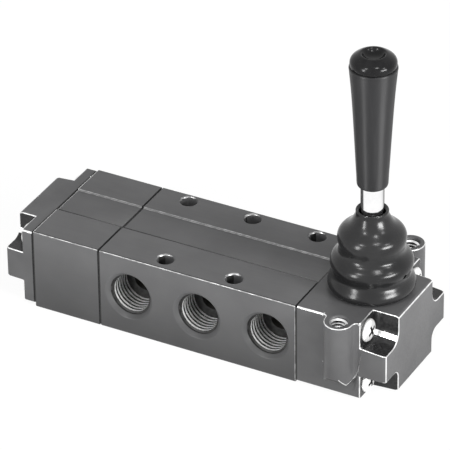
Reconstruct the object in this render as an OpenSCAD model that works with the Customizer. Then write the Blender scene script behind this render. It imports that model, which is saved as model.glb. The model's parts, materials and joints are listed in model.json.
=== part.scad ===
// Lever-operated air control valve: five ports, three positions, spring centred.
// X runs along the spool towards the lever, Y to the rear face, Z up.
// The origin is the middle of the centre body's underside.

/* [Body] */
// Depth of the body, front face to rear face
body_w = 50.8; // [50:0.2:58]
// Height of the body
body_h = 34; // [33:0.2:38]
// Length of the centre body
centre_len = 83.5; // [82:0.5:96]
// Length of the spring housing, gasket included
spring_housing_len = 28.8; // [27:0.2:36]
// Thickness of each gasket
gasket_t = 0.4; // [0.2:0.1:0.8]
// Width of the shallow channel along the top
channel_w = 16.2; // [8:0.2:22]
// Distance of the channel behind the middle plane
channel_shift = 1.1; // [0:0.1:2]
// Depth of the channel
channel_depth = 0.55; // [0.3:0.05:1]
// Radius on the long edges of the extruded bodies
edge_r = 0.6; // [0.2:0.1:1]

/* [Ports] */
// Distance from a joint to the axis of the nearest front port
port_end = 12.55; // [12.4:0.05:13.5]
// Diameter of the port threads at their roots
port_d = 17.1; // [12:0.1:17.4]
// Diameter of the countersink at a port's mouth
port_mouth_d = 20.2; // [18:0.1:21]
// Depth of a threaded port
port_depth = 12.4; // [8:0.2:13]
// Diameter of the passage from a port to the spool
passage_d = 8.4; // [5:0.2:9]

/* [Mounting] */
// Diameter of the holes down through the body
mount_hole_d = 6.6; // [5:0.1:6.8]
// Chamfer at both ends of those holes
mount_chamfer = 0.5; // [0.2:0.1:0.8]
// Distance of the two front holes from the front face
front_hole_inset = 6.3; // [5:0.1:7]
// Distance of the two front holes to the left of the gaps between ports
front_hole_shift = 1.8; // [0:0.1:2]
// Distance of the three rear holes from the rear face
rear_hole_inset = 4.4; // [4.2:0.1:6]
// How much closer together the rear holes are than the ports
rear_hole_draw = 1.4; // [0.8:0.1:2]
// Distance of the middle rear hole to the left of the middle
rear_hole_shift = 0.4; // [0:0.1:1]
// Diameter of the threaded bosses on the lever housing
boss_d = 11.2; // [9.6:0.2:12]
// Diameter of the thread in a boss
boss_hole_d = 6.8; // [5:0.1:7.4]
// Depth of the thread in a boss
boss_hole_depth = 14; // [8:0.5:18]
// Distance of the front boss's axis from the front face
front_boss_reach = 1.8; // [1:0.1:4]
// Distance of the rear boss's axis from the rear face
rear_boss_reach = 7.6; // [4:0.1:9]
// Radius of the hollow fillets beside a boss
boss_fillet = 1.7; // [1:0.1:2.6]
// Height of the rounded bottom of a boss
boss_bottom = 7; // [4:0.5:14]

/* [End castings] */
// Height of the lever housing's top above the body's top
lever_top_rise = 0.2; // [0:0.1:0.6]
// Height of the lever housing's underside above the mounting plane
lever_lift = 0.6; // [0.4:0.1:1.2]
// Depth of the end cap's top below the body's top
cap_top_drop = 0.45; // [0.2:0.05:1]
// Height of the end cap's underside above the mounting plane
cap_lift = 1.3; // [0.4:0.1:1.6]
// Thickness of the end cap's flange, gasket included
cap_flange_t = 4.9; // [4:0.1:8]
// Length of the end cap's block
cap_block_len = 7.5; // [6:0.1:10]
// Length of the lever housing's flange, gasket included
lever_flange_len = 26.8; // [26:0.2:32]
// Length of the lever housing's end block
lever_block_len = 10.5; // [9:0.1:14]
// Width of the corner pockets, from the side faces inwards
pocket_width = 10.7; // [10.6:0.1:12]
// Draft of the blocks over their length
block_draft = 0.5; // [0:0.1:1]
// Depth of the upper corner pockets below the body's top
pocket_top_depth = 10.7; // [10.6:0.1:12]
// Height of the lower corner pockets above the mounting plane
pocket_low_height = 10.6; // [10.4:0.1:12]
// Radius in the inner corner of an upper pocket
pocket_top_r = 5.2; // [2:0.1:5.3]
// Radius in the inner corner of a lower pocket
pocket_low_r = 3.6; // [2:0.1:5]
// How far the lever housing's upper pockets deepen towards its end
pocket_drop = 1.1; // [0:0.1:1.6]
// Outer radius on the castings' corners
casting_r = 1.2; // [0.6:0.1:2]

/* [Screws] */
// Diameter of the long screws
screw_d = 4.8; // [4:0.1:5]
// Diameter of a screw's pan head
screw_head_d = 9; // [8:0.1:9.1]
// Height of a screw's pan head
screw_head_h = 2.6; // [2:0.1:3]
// Distance of a screw's axis from the side faces
screw_side_inset = 5.9; // [5.6:0.1:6]
// Distance of a screw's axis from the top and the bottom
screw_edge_inset = 5.8; // [5.6:0.1:6]
// Length of thread held in the centre body
screw_bite = 7.5; // [5:0.1:7.6]

/* [Spool] */
// Diameter of the spool
spool_d = 12.7; // [11:0.1:13]
// Diameter of the spool in its two grooves
groove_d = 7.8; // [6:0.1:9]
// Length of a spool groove
groove_len = 11; // [10:0.1:12]
// Diameter of the spool's stem in the spring housing
stem_d = 6.4; // [5:0.1:7]
// Thickness of the seal rings
ring_cord = 3.5; // [3:0.1:3.6]
// Diameter of the round hole in a seal cage's wall
cage_hole_d = 4.4; // [3:0.1:5]
// Diameter of the bore of the spring housing
spring_bore_d = 22; // [20.8:0.2:24]
// Thickness of a spring's seat washer
seat_t = 1.2; // [0.8:0.1:2]
// Thickness of the collar between the springs
collar_t = 2; // [1.4:0.1:3]
// Thickness of the spring wire
spring_wire = 1.5; // [1:0.1:1.7]
// Turns of each spring
spring_turns = 4.5; // [3:0.5:5]

/* [Lever] */
// Distance of the lever's axis from the lever housing's joint
lever_offset = 18.9; // [18:0.1:20]
// Height of the lever's pivot above the body's top
pivot_rise = 4; // [3.5:0.1:5]
// Diameter of the pivot pin
pivot_d = 4; // [3:0.1:4.4]
// Largest tilt of the lever each way, in degrees
lever_tilt = 12; // [6:1:12]
// Diameter of the chrome rod
rod_d = 8.8; // [7:0.1:9.2]
// Height above the pivot at which the chrome rod meets the pivot arm
rod_rise = 14; // [12:0.5:18]
// Diameter of the ball at the lever's lower end
ball_d = 7.9; // [7:0.1:8]
// Height of the grip's lower end above the pivot
grip_rise = 40.1; // [36:0.1:46]
// Length of the grip up to its groove
grip_len = 50.4; // [40:0.5:60]
// Diameter of the grip at its lower end
grip_small_d = 12; // [11:0.2:13]
// Diameter of the grip at its upper rim
grip_rim_d = 18.2; // [17.8:0.1:20]
// Diameter of the cap on the grip
grip_cap_d = 17.6; // [15:0.2:19]
// Height of the cap on the grip
grip_cap_h = 5.5; // [4:0.1:7]

/* [Boot] */
// How far the lowest bulge stands out from the neck
bulge_low_reach = 5.2; // [4:0.1:6.2]
// How far the middle bulge stands out from the neck
bulge_mid_reach = 4.3; // [3.8:0.1:5.5]
// How far the top bulge stands out from the neck
bulge_top_reach = 1.6; // [0:0.1:2.5]
// Outer diameter of the collar around the rod
collar_d = 12.6; // [12.2:0.1:14]
// Height of the boot above the lever housing
boot_h = 33.6; // [31:0.1:36]
// Thickness of the boot's rubber
boot_wall = 1.5; // [1:0.1:2]
// Outer diameter of the neck that the boot grips
neck_d = 23; // [22.4:0.2:24]
// Height of that neck
neck_h = 8.5; // [8.1:0.1:9.5]

/* [Hidden] */
$fn = 64;

// Clearances: held parts, sliding parts, parts that move past others, and overrun of cuts
fit_gap = 0.03;
run_gap = 0.05;
free_gap = 0.4;
over = 1;

// Distances between ports and between rear holes
port_pitch = (centre_len - 2 * port_end) / 2;
rear_hole_pitch = port_pitch - rear_hole_draw;

// Places along the length
joint_l = -centre_len / 2;
joint_r = centre_len / 2;
spring_l = joint_l - spring_housing_len;
cap_l = spring_l - cap_flange_t;
cap_end = cap_l - cap_block_len;
flange_r = joint_r + lever_flange_len;
block_r = flange_r + lever_block_len;
lever_x = joint_r + lever_offset;
half_w = body_w / 2;
spool_z = body_h / 2;
gasket_top = body_h - channel_depth;
lever_top = body_h + lever_top_rise;
cap_top = body_h - cap_top_drop;
band_top = body_h - pocket_top_depth;
block_w = body_w - 2 * pocket_width;
pivot_z = body_h + pivot_rise;
rod_bottom = pivot_z + rod_rise;
grip_bottom = pivot_z + grip_rise;
front_ports = [-port_pitch, 0, port_pitch];
rear_ports = [-port_pitch / 2, port_pitch / 2];
front_holes = [-port_pitch / 2 - front_hole_shift, port_pitch / 2 - front_hole_shift];
rear_holes = [for (i = [-1, 0, 1]) i * rear_hole_pitch - rear_hole_shift];
front_hole_y = -half_w + front_hole_inset;
rear_hole_y = half_w - rear_hole_inset;
screw_places = [for (y = [-1, 1], z = [-1, 1])
    [y * (half_w - screw_side_inset), spool_z + z * (spool_z - screw_edge_inset)]];

// Seals and cages in the spool bore
bore_r = spool_d / 2 + run_gap + ring_cord + fit_gap;
ring_places = [for (i = [-2.5 : 2.5]) i * port_pitch / 2];
cage_len = port_pitch / 2 - ring_cord - 2 * fit_gap;
cage_wall_r = spool_d / 2 + free_gap;
cage_channel_share = 0.5;
retainer_inner = 5 * port_pitch / 4 + ring_cord / 2 + fit_gap;
retainer_r = spool_d / 2 + run_gap;

// Springs and the stem that they centre
spring_bore_r = spring_bore_d / 2;
seat_r = spring_bore_r - fit_gap;
right_seat = joint_l - seat_t;
left_seat = spring_l - gasket_t + seat_t;
collar_x = (right_seat + left_seat) / 2;
collar_r = spring_bore_r - free_gap;
nut_t = 4;
nut_flats = 10;
stem_end = collar_x - collar_t / 2 - nut_t - seat_t;
spring_r = (spring_bore_r + retainer_r) / 2;

// Lever housing cavity, its neck and the parts on the pivot
cavity_r = spool_d / 2 + 4 * free_gap;
travel = (pivot_z - spool_z) * sin(lever_tilt);
tail_wall = 3;
tail_r = ball_d / 2 + tail_wall;
tail_end = lever_x + tail_r;
cavity_end = tail_end + travel + 3 * free_gap;
shaft_r = cavity_r - free_gap;
neck_top = lever_top + neck_h;
slot_half_y = 6.2;
slot_drop = 6.5;
slot_bottom = pivot_z - slot_drop;
washer_t = 1;
groove_z = lever_top + boot_wall / 2;
groove_h = boot_wall;
groove_r = neck_d / 2 - washer_t;
arm_r = slot_half_y - washer_t - 2 * run_gap;
arm_neck_r = 2.3;
ball_r = ball_d / 2;
stud_r = 3;
stud_len = 9;

// Grip
grip_top = grip_bottom + grip_len;
grip_edge = 1.6;
rim_drop = 0.9;
groove_depth = 1.1;
insert_r = 4.6;
insert_len = 16;
insert_inset = 6;
insert_z = grip_bottom + insert_inset;
plug_r = 5;
plug_len = 10;

// Boot
boot_base = lever_top;
boot_top = boot_base + boot_h;
bulge_low_d = neck_d + 2 * bulge_low_reach;
bulge_mid_d = neck_d + 2 * bulge_mid_reach;
bulge_top_d = neck_d + 2 * bulge_top_reach;
// Each bulge's middle, its tube's radius and its squash, then the waists, as shares of the boot
low_shares = [0.08, 0.085, 0.88];
mid_shares = [0.33, 0.12, 0.95];
top_shares = [0.649, 0.16, 0.95];
waist_shares = [0.211, 0.51];
collar_share = 0.95;
vent_share = 0.3;
collar_inner_r = rod_d / 2 + run_gap + fit_gap;
vent_d = 1.9;

// Rotates what is drawn upright so that its axis runs along +X
module along_x(x, y, z) {
    translate([x, y, z]) rotate([0, 90, 0]) children();
}

// Rotates what is drawn upright so that its axis runs along +Y
module along_y(x, y, z) {
    translate([x, y, z]) rotate([-90, 0, 0]) children();
}

// Section of a body, seen along X: a rectangle with rounded corners of radius r
module body_section(inset = 0, top = body_h, low = 0, r = edge_r) {
    y = half_w - inset;
    corners = [[-y, low + inset, 180], [y, low + inset, 270], [y, top - inset, 0], [-y, top - inset, 90]];
    polygon([for (c = corners, a = [0 : 30 : 90])
        [c[0] - sign(c[0]) * r + r * cos(c[2] + a),
         c[1] + (c[1] < spool_z ? r : -r) + r * sin(c[2] + a)]]);
}

// A length of that section from x0 to x1
module body_bar(x0, x1, inset = 0, top = body_h, low = 0) {
    translate([x0, 0, 0]) rotate([90, 0, 90]) linear_extrude(x1 - x0) body_section(inset, top, low);
}

// The shallow channel along the top, from x0 to x1
module top_channel(x0, x1) {
    translate([x0 - over, channel_shift - channel_w / 2, body_h - channel_depth])
        cube([x1 - x0 + 2 * over, channel_w, channel_depth + over]);
}

// The four screw holes, from x0 to x1
module screw_holes(x0, x1, r) {
    for (p = screw_places) along_x(x0, p[0], p[1]) cylinder(r = r, h = x1 - x0);
}

// One threaded port with its countersink and passage, drawn along Z from its mouth
module port_cut() {
    sink = (port_mouth_d - port_d) / 2;
    translate([0, 0, -over]) cylinder(d1 = port_mouth_d + 2 * over, d2 = port_mouth_d, h = over);
    cylinder(d1 = port_mouth_d, d2 = port_d, h = sink);
    cylinder(d = port_d, h = port_depth);
    cylinder(d = passage_d, h = half_w - bore_r + over);
}

// One hole down through the body with its chamfers
module mount_hole(x, y) {
    r = mount_hole_d / 2;
    cone = mount_chamfer + over;
    translate([x, y, -over]) cylinder(r = r, h = body_h + 2 * over);
    translate([x, y, body_h - mount_chamfer]) cylinder(r1 = r, r2 = r + cone, h = cone);
    translate([x, y, -over]) cylinder(r1 = r + cone, r2 = r, h = cone);
}

module centre_body() {
    color("dimgray") difference() {
        body_bar(joint_l, joint_r);
        top_channel(joint_l, joint_r);
        along_x(joint_l - over, 0, spool_z) cylinder(r = bore_r, h = centre_len + 2 * over);
        for (x = front_ports) along_y(x, -half_w, spool_z) port_cut();
        for (x = rear_ports) along_y(x, half_w, spool_z) rotate([180, 0, 0]) port_cut();
        for (x = front_holes) mount_hole(x, front_hole_y);
        for (x = rear_holes) mount_hole(x, rear_hole_y);
        screw_holes(joint_l - over, joint_l + screw_bite + free_gap, screw_d / 2 + fit_gap);
        screw_holes(joint_r - screw_bite - free_gap, joint_r + over, screw_d / 2 + fit_gap);
    }
}

module spring_housing() {
    color("dimgray") difference() {
        body_bar(spring_l, joint_l - gasket_t);
        top_channel(spring_l, joint_l - gasket_t);
        along_x(spring_l - over, 0, spool_z) cylinder(r = spring_bore_r, h = spring_housing_len + 2 * over);
        screw_holes(spring_l - over, joint_l + over, screw_d / 2 + run_gap);
    }
}

// A slab of a casting from x, with its top and bottom levels drawn in by inset
module casting_slab(x, t, inset, top, low) {
    translate([x, 0, 0]) rotate([90, 0, 90]) linear_extrude(t) body_section(inset, top, low, casting_r);
}

// Block at a casting's end: a slab at x0 drawn in to a smaller slab at x1
module end_block(x0, x1, top, low) {
    t = casting_r / 2;
    way = sign(x1 - x0);
    hull() {
        casting_slab(min(x0, x0 + way * t), t, 0, top, low);
        casting_slab(min(x1 - way * casting_r, x1 - way * (casting_r + t)), t, block_draft / 2, top, low);
        casting_slab(min(x1, x1 - way * t), t, block_draft / 2 + casting_r / 2, top, low);
    }
}

// One corner pocket of a block, from x0 at its flange to x1 at its end
module corner_pocket(x0, x1, side, up, r, edge, drop) {
    inner = block_w / 2;
    out_y = side * (half_w + over);
    out_z = up > 0 ? lever_top + over : -over;
    way = sign(x1 - x0);
    hull() for (s = [[x0, 0, 0], [x1 + way * over, block_draft, drop]]) {
        x = way > 0 ? s[0] : s[0] - fit_gap;
        y0 = side * (inner - s[1]);
        z0 = edge - up * s[2];
        y_low = min(out_y, out_y - side * fit_gap);
        z_low = min(out_z, out_z - up * fit_gap);
        translate([x, y0 + side * r, z0 + up * r]) rotate([0, 90, 0])
            cylinder(r = r, h = fit_gap, $fn = 32);
        translate([x, y_low, min(z0, out_z)]) cube([fit_gap, fit_gap, abs(out_z - z0)]);
        translate([x, min(y0, out_y), z_low]) cube([fit_gap, abs(out_y - y0), fit_gap]);
    }
}

// The four corner pockets of a block, the upper ones deepening by drop
module corner_pockets(x0, x1, drop) {
    for (side = [-1, 1]) {
        corner_pocket(x0, x1, side, 1, pocket_top_r, band_top, drop);
        corner_pocket(x0, x1, side, -1, pocket_low_r, pocket_low_height, 0);
    }
}

module end_cap() {
    color("dimgray") difference() {
        union() {
            casting_slab(cap_l, cap_flange_t - gasket_t, 0, cap_top, cap_lift);
            end_block(cap_l, cap_end, cap_top, cap_lift);
        }
        corner_pockets(cap_l, cap_end, 0);
        along_x(cap_l + free_gap - cap_block_len / 2, 0, spool_z)
            cylinder(r = stem_d / 2 + 2 * free_gap + seat_t, h = cap_flange_t + cap_block_len);
        screw_holes(cap_end - over, spring_l + over, screw_d / 2 + run_gap);
    }
}

// Half the width of a boss with the hollow fillets that join it to its face
function boss_spread(reach) = sqrt(pow(boss_d / 2 + boss_fillet, 2) - pow(reach - boss_fillet, 2));

// Plan of a boss: an outline from one fillet around the boss to the other, its face along y = 0
module boss_plan(reach) {
    r = boss_d / 2;
    f = boss_fillet;
    dx = boss_spread(reach);
    lean = atan2(f - reach, dx);
    right = [for (t = [0 : 0.2 : 1]) let (a = 270 - t * (90 - lean)) [dx + f * cos(a), f + f * sin(a)]];
    nose = [for (t = [0.05 : 0.05 : 0.95])
        let (a = lean + t * (180 - 2 * lean)) [r * cos(a), reach + r * sin(a)]];
    left = [for (i = [len(right) - 1 : -1 : 0]) [-right[i][0], right[i][1]]];
    polygon(concat([[dx, -casting_r]], right, nose, left, [[-dx, -casting_r]]));
}

// A boss on the lever housing: a column whose underside is rounded off to both sides and to its face
module boss(side, reach) {
    dx = boss_spread(reach);
    dy = reach + boss_d / 2 + fit_gap;
    depth = 3 * boss_d + reach;
    translate([lever_x, side * half_w, 0]) mirror([0, side < 0 ? 1 : 0, 0]) intersection() {
        translate([0, 0, boss_bottom]) linear_extrude(lever_top - boss_bottom) boss_plan(reach);
        union() {
            along_y(0, -boss_d, boss_bottom + dx) cylinder(r = dx + fit_gap, h = depth);
            translate([-2 * dx, -boss_d, boss_bottom + dx]) cube([4 * dx, depth, body_h]);
        }
        union() {
            along_x(-2 * dx, 0, boss_bottom + dy) cylinder(r = dy + fit_gap, h = 4 * dx);
            translate([-2 * dx, -boss_d, boss_bottom + dy]) cube([4 * dx, depth, body_h]);
        }
    }
}

// The threaded hole down a boss, with its chamfer
module boss_thread(y) {
    cone = mount_chamfer + over;
    translate([lever_x, y, lever_top - boss_hole_depth])
        cylinder(d = boss_hole_d, h = boss_hole_depth + over);
    translate([lever_x, y, lever_top - mount_chamfer])
        cylinder(d1 = boss_hole_d, d2 = boss_hole_d + 2 * cone, h = cone);
}

module lever_housing() {
    left = joint_r + gasket_t;
    color("dimgray") difference() {
        union() {
            casting_slab(left, flange_r - left, 0, lever_top, lever_lift);
            end_block(flange_r, block_r, lever_top, lever_lift);
            boss(-1, front_boss_reach);
            boss(1, rear_boss_reach);
            translate([lever_x, 0, lever_top - over]) cylinder(d = neck_d, h = neck_h + over);
        }
        corner_pockets(flange_r, block_r, pocket_drop);
        along_x(left - over, 0, spool_z) cylinder(r = cavity_r, h = cavity_end - left + over);
        translate([lever_x, 0, spool_z]) cylinder(r = shaft_r, h = slot_bottom - spool_z + fit_gap);
        translate([lever_x - shaft_r, -slot_half_y, slot_bottom])
            cube([2 * shaft_r, 2 * slot_half_y, neck_top - slot_bottom + over]);
        translate([lever_x, 0, groove_z]) difference() {
            cylinder(r = neck_d / 2 + over, h = groove_h);
            translate([0, 0, -over]) cylinder(r = groove_r, h = groove_h + 2 * over);
        }
        along_y(lever_x, -neck_d, pivot_z) cylinder(r = pivot_d / 2 + fit_gap, h = 2 * neck_d);
        boss_thread(-half_w - front_boss_reach);
        boss_thread(half_w + rear_boss_reach);
        screw_holes(joint_r - over, block_r + over, screw_d / 2 + run_gap);
    }
}

// A gasket between two sections, with its middle and screw holes
module gasket(x0, hole_r, top, low) {
    difference() {
        body_bar(x0, x0 + gasket_t, edge_r / 2, top, low);
        along_x(x0 - over, 0, spool_z) cylinder(r = hole_r, h = gasket_t + 2 * over);
        screw_holes(x0 - over, x0 + gasket_t + over, screw_d / 2 + run_gap);
    }
}

module cap_gasket() {
    color("black") gasket(spring_l - gasket_t, spring_bore_r, cap_top, cap_lift);
}

module spring_housing_gasket() {
    color("black") gasket(joint_l - gasket_t, spring_bore_r, gasket_top, 0);
}

module lever_housing_gasket() {
    color("black") gasket(joint_r, cavity_r, gasket_top, lever_lift);
}

// A cross-recessed pan-head screw along +X, its head's underside at the origin
module pan_screw(len) {
    r = screw_head_d / 2;
    slot = screw_d / 4;
    side = screw_head_h / 3;
    crown = screw_head_h - side;
    crown_share = 0.4;
    recess = screw_head_h * 0.7;
    tip = (screw_d - slot) / 2;
    rotate([0, 90, 0]) difference() {
        rotate_extrude() polygon(concat(
            [[0, -screw_head_h], [0, len], [tip, len], [screw_d / 2, len - slot / 2], [screw_d / 2, 0],
             [r, 0], [r, -side]],
            [for (a = [15 : 15 : 75]) [r * (1 - crown_share * (1 - cos(a))), -side - crown * sin(a)]]));
        for (a = [0, 90]) rotate([0, 0, a]) intersection() {
            translate([-r, -slot / 2, -screw_head_h - over]) cube([2 * r, slot, recess + over]);
            translate([0, 0, -screw_head_h - over]) cylinder(d1 = 2 * tip, d2 = slot, h = recess + over);
        }
    }
}

module cap_screws() {
    color("silver") for (p = screw_places) translate([cap_l, p[0], p[1]])
        pan_screw(joint_l + screw_bite - cap_l);
}

module lever_housing_screws() {
    color("silver") for (p = screw_places) translate([flange_r, p[0], p[1]]) rotate([0, 0, 180])
        pan_screw(flange_r - joint_r + screw_bite);
}

module seal_rings() {
    color("black") for (x = ring_places) along_x(x, 0, spool_z)
        rotate_extrude() translate([spool_d / 2 + run_gap + ring_cord / 2, 0])
            circle(d = ring_cord, $fn = 32);
}

// Perforated spacer between two seal rings, centred on x
module seal_cage(x) {
    channel = cage_len * cage_channel_share;
    difference() {
        along_x(x - cage_len / 2, 0, spool_z) cylinder(r = bore_r - fit_gap, h = cage_len);
        along_x(x - cage_len, 0, spool_z) cylinder(r = cage_wall_r, h = 2 * cage_len);
        along_x(x - channel / 2, 0, spool_z) difference() {
            cylinder(r = bore_r + over, h = channel);
            translate([0, 0, -over]) cylinder(r = (bore_r + cage_wall_r) / 2, h = channel + 2 * over);
        }
        for (a = [0, 60, 120]) translate([x, 0, spool_z]) rotate([a, 0, 0])
            cylinder(d = cage_hole_d, h = 3 * bore_r, center = true);
    }
}

module seal_cages() {
    color("goldenrod") for (i = [-2 : 2]) seal_cage(i * port_pitch / 2);
}

module seal_retainers() {
    color("goldenrod") for (s = [-1, 1]) along_x(s > 0 ? retainer_inner : joint_l, 0, spool_z) difference() {
        cylinder(r = bore_r - fit_gap, h = joint_r - retainer_inner);
        translate([0, 0, -over]) cylinder(r = retainer_r, h = centre_len);
    }
}

module spring_seats() {
    color("silver") {
        along_x(right_seat, 0, spool_z) difference() {
            cylinder(r = seat_r, h = seat_t);
            translate([0, 0, -over]) cylinder(r = retainer_r + run_gap, h = seat_t + 2 * over);
        }
        along_x(left_seat - seat_t, 0, spool_z) difference() {
            cylinder(r = seat_r, h = seat_t);
            translate([0, 0, -over]) cylinder(r = stem_d / 2 + free_gap, h = seat_t + 2 * over);
        }
    }
}

module spool() {
    shoulder = collar_x + collar_t / 2;
    groove_gap = (spool_d - groove_d) / 2;
    r = spool_d / 2;
    g = groove_d / 2;
    grooves = [for (x = rear_ports, p = [[-groove_len / 2, r], [-groove_len / 2 + groove_gap / 2, g],
        [groove_len / 2 - groove_gap / 2, g], [groove_len / 2, r]]) [p[1], x + p[0]]];
    color("gainsboro") difference() {
        along_x(0, 0, spool_z) rotate_extrude() polygon(concat(
            [[0, stem_end], [stem_d / 2, stem_end], [stem_d / 2, shoulder], [r, shoulder]],
            grooves,
            [[r, tail_end - seat_t], [r - seat_t, tail_end], [0, tail_end]]));
        translate([lever_x, 0, spool_z - ball_r - seat_t]) cylinder(r = ball_r + run_gap, h = spool_d);
    }
}

module spring_collar() {
    color("silver") along_x(collar_x - collar_t / 2, 0, spool_z) difference() {
        cylinder(r = collar_r, h = collar_t);
        translate([0, 0, -over]) cylinder(r = stem_d / 2 + fit_gap, h = collar_t + 2 * over);
    }
}

module spool_nut() {
    color("silver") along_x(collar_x - collar_t / 2 - nut_t, 0, spool_z) difference() {
        cylinder(d = nut_flats / cos(30), h = nut_t, $fn = 6);
        translate([0, 0, -over]) cylinder(r = stem_d / 2 + fit_gap, h = nut_t + 2 * over);
    }
}

// A compression spring along +X between x0 and x1, swept as a round wire with flattened end turns
module coil_spring(x0, x1) {
    w = spring_wire / 2;
    steps = spring_turns * 16;
    sides = 8;
    span = x1 - x0 - spring_wire;
    turn_share = 0.18;
    rise_share = 0.05;
    function run(t) = t < turn_share ? rise_share * t / turn_share
        : t > 1 - turn_share ? 1 - rise_share * (1 - t) / turn_share
        : rise_share + (1 - 2 * rise_share) * (t - turn_share) / (1 - 2 * turn_share);
    points = [for (i = [0 : steps], k = [0 : sides - 1])
        let (a = 360 * spring_turns * i / steps, b = 360 * k / sides, r = spring_r + w * cos(b))
        [x0 + w + span * run(i / steps) + w * sin(b), r * cos(a), spool_z + r * sin(a)]];
    walls = [for (i = [0 : steps - 1], k = [0 : sides - 1])
        let (n = (k + 1) % sides) [i * sides + k, i * sides + n, (i + 1) * sides + n, (i + 1) * sides + k]];
    ends = [[for (k = [sides - 1 : -1 : 0]) k], [for (k = [0 : sides - 1]) steps * sides + k]];
    polyhedron(points, concat(walls, ends), convexity = 10);
}

module inner_spring() {
    color("slategray") coil_spring(collar_x + collar_t / 2 + fit_gap, right_seat - fit_gap);
}

module outer_spring() {
    color("slategray") coil_spring(left_seat + fit_gap, collar_x - collar_t / 2 - fit_gap);
}

module pivot_pin() {
    color("silver") along_y(lever_x, boot_wall / 2 - groove_r, pivot_z)
        cylinder(d = pivot_d, h = 2 * groove_r - boot_wall);
}

module pivot_washers() {
    middle = slot_half_y - washer_t / 2 - fit_gap;
    color("white") for (s = [-1, 1]) along_y(lever_x, s * middle - washer_t / 2, pivot_z) difference() {
        cylinder(d = 2 * pivot_d, h = washer_t);
        translate([0, 0, -over]) cylinder(r = pivot_d / 2 + run_gap, h = washer_t + 2 * over);
    }
}

// Pivot arm: a ball in the spool's tail, a neck, and the body that turns on the pin
module lever_arm() {
    body_low = pivot_z - arm_r;
    color("gainsboro") difference() {
        union() {
            translate([lever_x, 0, spool_z]) sphere(r = ball_r);
            translate([lever_x, 0, spool_z]) rotate_extrude() polygon([
                [0, 0], [arm_neck_r, 0], [arm_neck_r, body_low - arm_neck_r - spool_z],
                [arm_r, body_low - spool_z], [arm_r, rod_bottom - spool_z], [0, rod_bottom - spool_z]]);
        }
        along_y(lever_x, -neck_d, pivot_z) cylinder(r = pivot_d / 2 + run_gap, h = 2 * neck_d);
        translate([lever_x, 0, rod_bottom - stud_len - free_gap])
            cylinder(r = stud_r + fit_gap, h = stud_len + over);
    }
}

module lever_rod() {
    chamfer = rod_d / 16;
    color("whitesmoke") translate([lever_x, 0, 0]) rotate_extrude() polygon([
        [0, rod_bottom - stud_len], [stud_r, rod_bottom - stud_len], [stud_r, rod_bottom],
        [rod_d / 2, rod_bottom], [rod_d / 2, insert_z - chamfer], [rod_d / 2 - chamfer, insert_z],
        [stud_r, insert_z], [stud_r, insert_z + stud_len], [0, insert_z + stud_len]]);
}

// Knurled threaded insert moulded into the grip, with two gripping waists
module grip_insert() {
    step = insert_len / 5;
    waist_share = 0.85;
    waist = insert_r * waist_share;
    color("goldenrod") translate([lever_x, 0, insert_z]) difference() {
        rotate_extrude() polygon([[0, 0], [insert_r, 0], [insert_r, step], [waist, step], [waist, 2 * step],
            [insert_r, 2 * step], [insert_r, 3 * step], [waist, 3 * step], [waist, 4 * step],
            [insert_r, 4 * step], [insert_r, insert_len], [0, insert_len]]);
        translate([0, 0, -over]) cylinder(r = stud_r + fit_gap, h = stud_len + free_gap + over);
    }
}

module handle_grip() {
    low = grip_small_d / 2;
    rim = grip_rim_d / 2;
    edge_z = grip_bottom + grip_edge;
    rim_z = grip_top - rim_drop - groove_depth / 2;
    waist_share = 0.06;
    color("#2b2b2b") translate([lever_x, 0, 0]) difference() {
        rotate_extrude() polygon(concat(
            [[0, grip_bottom]],
            [for (a = [-90 : 15 : 0]) [low - grip_edge * (1 - cos(a)), edge_z + grip_edge * sin(a)]],
            [for (t = [0.1 : 0.1 : 0.9]) [low + (rim - low) * (t - waist_share * sin(180 * t)),
                edge_z + t * (rim_z - edge_z)]],
            [[rim, rim_z], [rim, grip_top - rim_drop],
             [rim - groove_depth, grip_top], [0, grip_top]]));
        translate([0, 0, grip_bottom - over])
            cylinder(r = rod_d / 2 + fit_gap, h = insert_inset + over);
        translate([0, 0, insert_z - fit_gap]) cylinder(r = insert_r + fit_gap, h = insert_len + free_gap);
        translate([0, 0, grip_top - plug_len - free_gap])
            cylinder(r = plug_r + fit_gap, h = plug_len + over);
    }
}

module grip_cap() {
    r = grip_cap_d / 2;
    low = grip_rim_d / 2 - groove_depth;
    side = grip_cap_h / 4;
    dome = grip_cap_h - side;
    dimple_share = 0.75;
    lift_share = 0.9;
    dimple = r * dimple_share;
    color("#2b2b2b") translate([lever_x, 0, grip_top]) difference() {
        rotate_extrude() polygon(concat(
            [[0, -plug_len], [plug_r, -plug_len], [plug_r, fit_gap], [low, fit_gap]],
            [for (a = [0 : 9 : 81]) [r * cos(a), side + dome * sin(a)]],
            [[0, grip_cap_h]]));
        translate([0, 0, grip_cap_h + dimple * lift_share]) sphere(r = dimple);
    }
}

// Arc of a bulge as [radius, height] points: r its outer radius, shares its middle, tube and squash
function bulge(r, shares, from, to, step) = [for (a = [from : step : to])
    [r - boot_h * shares[1] * (1 - cos(a)),
     boot_base + boot_h * (shares[0] + shares[1] * shares[2] * sin(a))]];

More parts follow.
